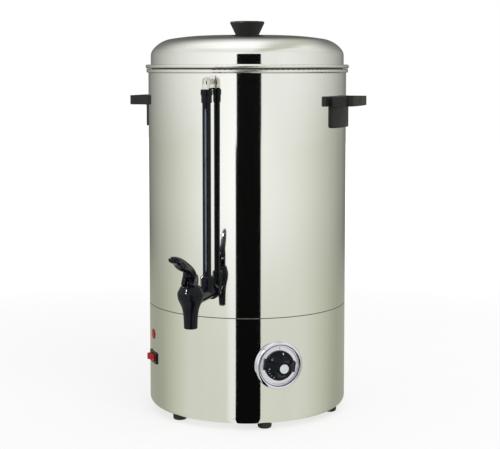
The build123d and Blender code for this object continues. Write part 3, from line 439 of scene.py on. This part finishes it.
# %% Gloss black
gloss_black = surface(
    "gloss_black",
    (0.003, 0.0035, 0.006),
    (0.006, 0.007, 0.011),
    rough=(0.08, 0.15),
    drift=90.0,
    grain=160.0,
    bump=0.02,
    depth=0.0001,
    **{"Specular IOR Level": 0.16},
)
dress(
    gloss_black,
    *"faucet_shank faucet_body faucet_bonnet faucet_lever valve_stem gauge_nut gauge_guard gauge_cap".split(),
)

# %% [markdown]
# The handles, the lid's knob and the dial's knob are a softer black with a fine grain, and so is what holds
# the switch, the lamp and the cord. They differ in gloss, because each is moulded from its own plastic.

# %% Satin blacks
satin_black = surface(
    "satin_black",
    (0.004, 0.004, 0.0035),
    (0.008, 0.008, 0.007),
    rough=(0.30, 0.42),
    drift=70.0,
    grain=1800.0,
    bump=0.25,
    depth=0.0001,
    **{"Specular IOR Level": 0.3},
)
dress(satin_black, "handle_right", "handle_left", "lid_knob")
knob_black = surface(
    "knob_black",
    (0.0025, 0.003, 0.006),
    (0.005, 0.006, 0.011),
    rough=(0.24, 0.32),
    drift=140.0,
    grain=900.0,
    bump=0.04,
    **{"Specular IOR Level": 0.11},
)
dress(knob_black, "dial_knob")
housing_black = surface(
    "housing_black",
    (0.004, 0.004, 0.004),
    (0.009, 0.009, 0.009),
    rough=(0.25, 0.4),
    drift=120.0,
    grain=2600.0,
    bump=0.3,
    **{"Specular IOR Level": 0.25},
)
dress(housing_black, "switch_housing", "cord_gland", "gland_nut", "lamp_clip", "thermostat_body")

# %% [markdown]
# Feet and gaskets are matt rubber, with the coarse grain of its mould. The strip between tank and base is a
# grey seal, and the cup of the valve and the gauge's seal are pale silicone, which is safe with hot water.

# %% Rubber and silicone
black_rubber = surface(
    "black_rubber",
    (0.010, 0.010, 0.010),
    (0.028, 0.027, 0.025),
    rough=(0.6, 0.8),
    drift=140.0,
    grain=3000.0,
    bump=0.4,
)
dress(black_rubber, "rubber_feet", "shank_gaskets")
grey_seal = surface(
    "grey_seal", (0.10, 0.10, 0.09), (0.17, 0.17, 0.15), rough=(0.5, 0.7), drift=140.0, grain=3000.0, bump=0.4
)
dress(grey_seal, "seam_gasket")
silicone = surface(
    "silicone", (0.42, 0.41, 0.38), (0.52, 0.50, 0.47), rough=(0.45, 0.6), drift=150.0, grain=1500.0, bump=0.2
)
dress(silicone, "seat_cup", "gauge_seal")

# %% [markdown]
# The lamp and the rocker are clear red plastic with a polished face. The dial's cap is a pale grey-green
# disc. The gauge's tube is borosilicate glass that lets part of the light through and is given a milky
# blue colour.

# %% Red plastic, dial cap and glass
red_plastic = surface(
    "signal_red",
    (0.34, 0.003, 0.006),
    (0.43, 0.006, 0.010),
    rough=(0.12, 0.2),
    drift=200.0,
    grain=900.0,
    bump=0.08,
    **{"Coat Weight": 0.15, "Coat Roughness": 0.05, "Specular IOR Level": 0.35},
)
dress(red_plastic, "switch_rocker", "lamp_lens")
cap_grey = surface(
    "dial_cap_grey",
    (0.62, 0.68, 0.67),
    (0.73, 0.78, 0.78),
    rough=(0.25, 0.35),
    drift=240.0,
    grain=2600.0,
    bump=0.15,
)
dress(cap_grey, "dial_disc")
tube_glass = surface(
    "tube_glass",
    (0.24, 0.28, 0.35),
    (0.32, 0.37, 0.45),
    rough=(0.05, 0.12),
    drift=60.0,
    grain=80.0,
    bump=0.02,
    **{"Transmission Weight": 0.35, "IOR": 1.47},
)
dress(tube_glass, "gauge_glass")

# %% [markdown]
# The dial carries a few printed marks. They are modelled, not painted: a small plate is cut to size, its
# corners are rounded and it is given the thickness of a print. A ray that is cast back along the dial's
# axis finds the place where it stands, on the knob's sloping flank or on the flat ring.


# %% One mark of the dial
PRINT_THICKNESS = 0.00012


def dial_mark(name, turn, radius, carrier, length, width, material, body):
    """A printed mark on its carrier, turn round the dial's axis from its right and radius away from it."""
    bpy.ops.object.select_all(action="DESELECT")
    bpy.ops.mesh.primitive_plane_add(size=1, location=(0, 0, 0))
    mark = bpy.context.object
    mark.name = name
    bpy.ops.object.mode_set(mode="EDIT")
    bpy.ops.mesh.select_all(action="SELECT")
    bpy.ops.transform.resize(value=(length, width, 1))
    bpy.ops.mesh.bevel(offset=width * 0.3, segments=3, affect="VERTICES")
    bpy.ops.mesh.select_all(action="SELECT")
    bpy.ops.mesh.extrude_region_move(TRANSFORM_OT_translate={"value": (0, 0, PRINT_THICKNESS)})
    bpy.ops.mesh.select_all(action="SELECT")
    bpy.ops.mesh.normals_make_consistent(inside=False)
    bpy.ops.object.mode_set(mode="OBJECT")

    away = dial_across * cos(turn) + UP * sin(turn)
    above = away * radius + dial_axis * 0.3 + Vector((0, 0, dial_front.z))
    found, foot, normal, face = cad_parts[carrier].ray_cast(above, -dial_axis)
    outward_edge = (away - normal * away.dot(normal)).normalized()
    turned = Matrix((outward_edge, normal.cross(outward_edge), normal)).transposed().to_4x4()
    mark.matrix_world = Matrix.Translation(foot) @ turned
    bpy.ops.object.transform_apply(location=True, rotation=True, scale=True)
    mark.data.materials.append(material)
    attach(mark, body)
    return foot


print("a mark is", round(PRINT_THICKNESS * 1000, 2), "mm thick")

# %% [markdown]
# Five white ticks and the pointer turn with the knob, and the red index stays on the urn, so each mark
# rides on the body of what it is printed on.

# %% The dial's marks
TICK_TURNS = (184, 198, 211, 225, 239)
white_print = surface(
    "white_print",
    (0.42, 0.44, 0.48),
    (0.62, 0.64, 0.68),
    rough=(0.35, 0.5),
    drift=900.0,
    grain=4000.0,
    bump=0.1,
)
red_print = surface(
    "red_print", (0.45, 0.05, 0.03), (0.58, 0.08, 0.05), rough=(0.35, 0.5), drift=900.0, bump=0.1
)
for tick, turn in enumerate(TICK_TURNS, start=1):
    name = "dial_tick_" + str(tick)
    foot = dial_mark(
        name, radians(turn), 0.0166, "dial_knob", 0.0017, 0.0010, white_print, "dial"
    )
    print(name, "stands", round(foot.dot(dial_axis) * 1000, 2), "mm from the urn's axis")
dial_mark("dial_pointer", radians(76), 0.0162, "dial_knob", 0.0030, 0.0015, white_print, "dial")
dial_mark(
    "dial_index", radians(88), 0.0224, "thermostat_bezel", 0.0020, 0.0014, red_print, "urn"
)

# %% [markdown]
# Inside the base, the heat plate is cast aluminium, the element's sheath is steel that has been hot, and
# the terminal block is off-white polyamide.

# %% Heater and terminal block
cast_aluminium = surface(
    "cast_aluminium",
    (0.50, 0.50, 0.50),
    (0.66, 0.66, 0.65),
    rough=(0.35, 0.55),
    drift=90.0,
    grain=1200.0,
    bump=0.4,
    metal=1.0,
)
dress(cast_aluminium, "heat_plate")
heated_sheath = surface(
    "heated_sheath",
    (0.14, 0.12, 0.11),
    (0.30, 0.26, 0.21),
    rough=(0.35, 0.6),
    drift=60.0,
    grain=1500.0,
    bump=0.3,
    metal=1.0,
)
dress(heated_sheath, "heating_element")
block_white = surface(
    "block_white",
    (0.66, 0.63, 0.56),
    (0.76, 0.73, 0.67),
    rough=(0.4, 0.55),
    drift=120.0,
    grain=1800.0,
    bump=0.2,
)
dress(block_white, "terminal_block")

# %% [markdown]
# Polished steel shows its surroundings, so the studio is part of the finish. Steel ware stands in a tent of
# white cloth that the camera looks into through a slit. The slit shows on a cylinder as a hard black
# stripe, and the cloth as a light that fades towards the sides. The cloth's brightness is given as the
# level that the steel is to show, from 0 to 255. The walls are brightest in front of the urn and fade to
# its back by a power of the angle, from a brighter front on the left than on the right. The roof is a ramp
# of four stops, placed from straight behind the urn (-1) to straight in front of it (1).


# %% The tent's cloth
def level(srgb, shade=(0.99, 1.0, 0.87), over=0.83):
    """The light that makes steel show an sRGB level: white where bright, the shade's colour where dim."""
    value = srgb / 255
    linear = value / 12.92 if value < 0.04 else ((value + 0.055) / 1.055) ** 2.4
    bright = min(max((srgb - 195) / 55, 0), 1)
    return (*(linear / over * (tint + (1 - tint) * bright) for tint in shade), 1.0)


BACK_LEVEL = 86
LEFT_FADE, RIGHT_FADE = (253, 1.6), (234, 2.0)
STOP_STEP = 12
ROOF = ((-0.93, 78), (-0.33, 250), (0.0, 255), (1.0, 205))


def wall_level(turn):
    """The walls' level at an angle from the camera in degrees."""
    front, power = LEFT_FADE if turn < 0 else RIGHT_FADE
    return front - (front - BACK_LEVEL) * (abs(turn) / 180) ** power


def tent_light(shader, angle, stops):
    """The tent's light by the angle from the camera."""
    return shader.node("ShaderNodeValToRGB", {"stops": stops}, {0: angle / (2 * pi) + 0.5})


def tent_stops(shade, low=0, high=255, lift=0, drop=0):
    """The walls' levels as stops, held between two limits, lifted at the sides and lowered in front."""
    stops = []
    for turn in range(-180, 181, STOP_STEP):
        value = wall_level(turn) + lift * sin(radians(turn)) ** 2 - drop * max(cos(radians(turn)), 0) ** 2
        stops.append((turn / 360 + 0.5, level(min(max(value, low), high), shade)))
    return stops


print("the walls fade from", LEFT_FADE[0], "and", RIGHT_FADE[0], "to", BACK_LEVEL)

# %% [markdown]
# The world below is that tent for reflections, plain white where the camera sees it, and an even grey-white
# for the light it casts. The roof has a dim seam right of its middle and fades to both sides, which the
# lid's crown shows.

# %% The tent
SLIT_LEFT, SLIT_RIGHT, SLIT_TOP = radians(-11.9), radians(15.8), 0.24
SLIT_DARK = grey(0.004)
world = bpy.data.worlds.new("tent")
bpy.context.scene.world = world
world.use_nodes = True
sky = Shader(world.node_tree)
direction = sky.node("ShaderNodeTexCoord")
across, ahead, height = (along(sky, direction, way) for way in (to_right, to_camera, UP))
angle = across.maths("ARCTAN2", across, ahead)
lower = tent_light(sky, angle, tent_stops((0.995, 1.0, 0.88)))
upper = tent_light(sky, angle, tent_stops((1.0, 1.0, 0.94), lift=16, drop=7))
tent = sky.mix(height.smooth(-0.08, 0.01), lower, upper)
roof_stops = [(place / 2 + 0.5, level(value, (1.0, 1.0, 0.98))) for place, value in ROOF]
roof = sky.node("ShaderNodeValToRGB", {"stops": roof_stops}, {0: ahead * 0.5 + 0.5})
aside = across / height
seam = aside.smooth(0.05, 0.36) * (1 - aside.smooth(0.46, 0.78))
sides = across.maths("ABSOLUTE", across).smooth(0.25, 0.7)
roof = sky.mix(sides * 0.55, roof, level(205))
roof = sky.mix(seam, roof, level(193))
tent = sky.mix(height.smooth(0.25, 0.85), tent, roof)
slit = (angle > SLIT_LEFT) * (angle < SLIT_RIGHT) * (height < SLIT_TOP)
shown = sky.mix(slit, tent, SLIT_DARK)
ray = sky.node("ShaderNodeLightPath")
reflected = sky.node("ShaderNodeBackground", None, {"Color": shown, "Strength": 1.0})
cast = sky.node("ShaderNodeBackground", None, {"Color": grey(0.80), "Strength": 1.0})
white = sky.node("ShaderNodeBackground", None, {"Color": grey(1.0), "Strength": 1.0})
mixed = sky.node("ShaderNodeMixShader", None, {0: ray.out("Is Glossy Ray"), 1: cast, 2: reflected})
mixed = sky.node("ShaderNodeMixShader", None, {0: ray.out("Is Camera Ray"), 1: mixed, 2: white})
sky.node("ShaderNodeOutputWorld", None, {"Surface": mixed})
print("tent with a slit of", round(degrees(SLIT_RIGHT - SLIT_LEFT), 1), "degrees")

# %% [markdown]
# The floor is a wide pale sheet. Seen directly it is white and keeps the urn's soft shadow. In reflections
# it carries on the tent's fade and the slit's dark strip, because the lower part of a polished wall mirrors
# the floor. Close to the urn a place on the floor is mirrored from the side, so its angle is corrected by
# the tank's radius. The strip's two edges are straight lines across the floor, each with a slope and a
# start.

# %% The floor
TANK_R = 0.135
STRIP_LEFT, STRIP_RIGHT = (-0.232, 0.0155), (0.275, -0.0200)
bpy.ops.object.select_all(action="DESELECT")
bpy.ops.mesh.primitive_plane_add(size=12, location=(0, 0, 0))
floor = bpy.context.object
floor.name = "studio_floor"
floor_finish = bpy.data.materials.new("studio_floor")
floor_finish.use_nodes = True
ground = Shader(floor_finish.node_tree)
place = ground.node("ShaderNodeTexCoord").out("Object")
across, ahead = (along(ground, place, way) for way in (to_right, to_camera))
reach = distance(across, ahead)
angle = across.maths("ARCTAN2", across, ahead) * (2 * reach) / (2 * reach - TANK_R)
far = tent_light(ground, angle, tent_stops((0.99, 1.0, 0.87)))
near = tent_light(ground, angle, tent_stops((0.98, 1.0, 0.81), 163, 218, lift=4))
near = ground.mix(angle.smooth(-0.44, -0.32) * (angle < 0), near, level(238))
tent = ground.mix(reach.smooth(0.5, 2.0), near, far)
# In reflections the floor is dimmed close to the urn: painted shade that stands for the urn's own shadow on
# it.
dimmed = 0.89 + reach.smooth(0.5, 3.0) * 0.11
left, right = (slope * ahead + start for slope, start in (STRIP_LEFT, STRIP_RIGHT))
strip = (across > left) * (across < right) * (ahead > 0)
shown = ground.mix(strip, tent, SLIT_DARK)
reflected = ground.node("ShaderNodeEmission", None, {"Color": shown, "Strength": dimmed})
matt = ground.node("ShaderNodeBsdfDiffuse", None, {"Color": grey(0.8)})
glare = 1.12 + reach.smooth(0.6, 2.5) * 0.6
glow = ground.node("ShaderNodeEmission", None, {"Color": grey(1.0), "Strength": glare})
seen = ground.node("ShaderNodeMixShader", None, {0: 0.62, 1: matt, 2: glow})
ray = ground.node("ShaderNodeLightPath")
seen = ground.node("ShaderNodeMixShader", None, {0: ray.out("Is Camera Ray"), 1: matt, 2: seen})
seen = ground.node("ShaderNodeMixShader", None, {0: ray.out("Is Glossy Ray"), 1: seen, 2: reflected})
ground.node("ShaderNodeOutputMaterial", None, {"Surface": seen})
floor.data.materials.append(floor_finish)
print("floor", round(floor.dimensions.x, 1), "metres wide")

# %% [markdown]
# Three lamps finish the light. A small one in front and one behind, both high on the left, give the black
# plastic its sharp glints and edges. Their light is linked to the plastic and the bezel alone, so the steel
# doesn't mirror them. A large one overhead on the right fills the shadows and is kept out of every
# reflection.


# %% The lamps
def lamp(name, place, aim, size, power):
    bpy.ops.object.light_add(type="AREA", location=place)
    made = bpy.context.object
    made.name = name
    made.data.size = size
    made.data.energy = power
    made.rotation_mode = "QUATERNION"
    made.rotation_quaternion = (Vector(aim) - Vector(place)).to_track_quat("-Z", "Y")
    return made


glint = lamp("glint_lamp", (-0.9, -1.9, 1.7), (0, -0.15, 0.25), 0.24, 40)
glint.data.color = (0.90, 0.94, 1.0)
edge = lamp("edge_lamp", (-1.9, 0.55, 1.9), (0, -0.2, 0.3), 0.3, 30)
plastics = bpy.data.collections.new("glossy_plastics")
for node in (
    *"faucet_shank faucet_body faucet_bonnet faucet_lever gauge_nut gauge_guard gauge_cap dial_knob".split(),
    *"handle_right handle_left lid_knob switch_housing thermostat_bezel".split(),
):
    plastics.objects.link(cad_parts[node])
for high_lamp in (glint, edge):
    high_lamp.light_linking.receiver_collection = plastics
fill = lamp("fill_lamp", (1.4, -1.2, 2.4), (0, 0, 0.3), 1.4, 18)
fill.visible_glossy = False
print("lamps of", glint.data.energy, edge.data.energy, fill.data.energy, "watts")
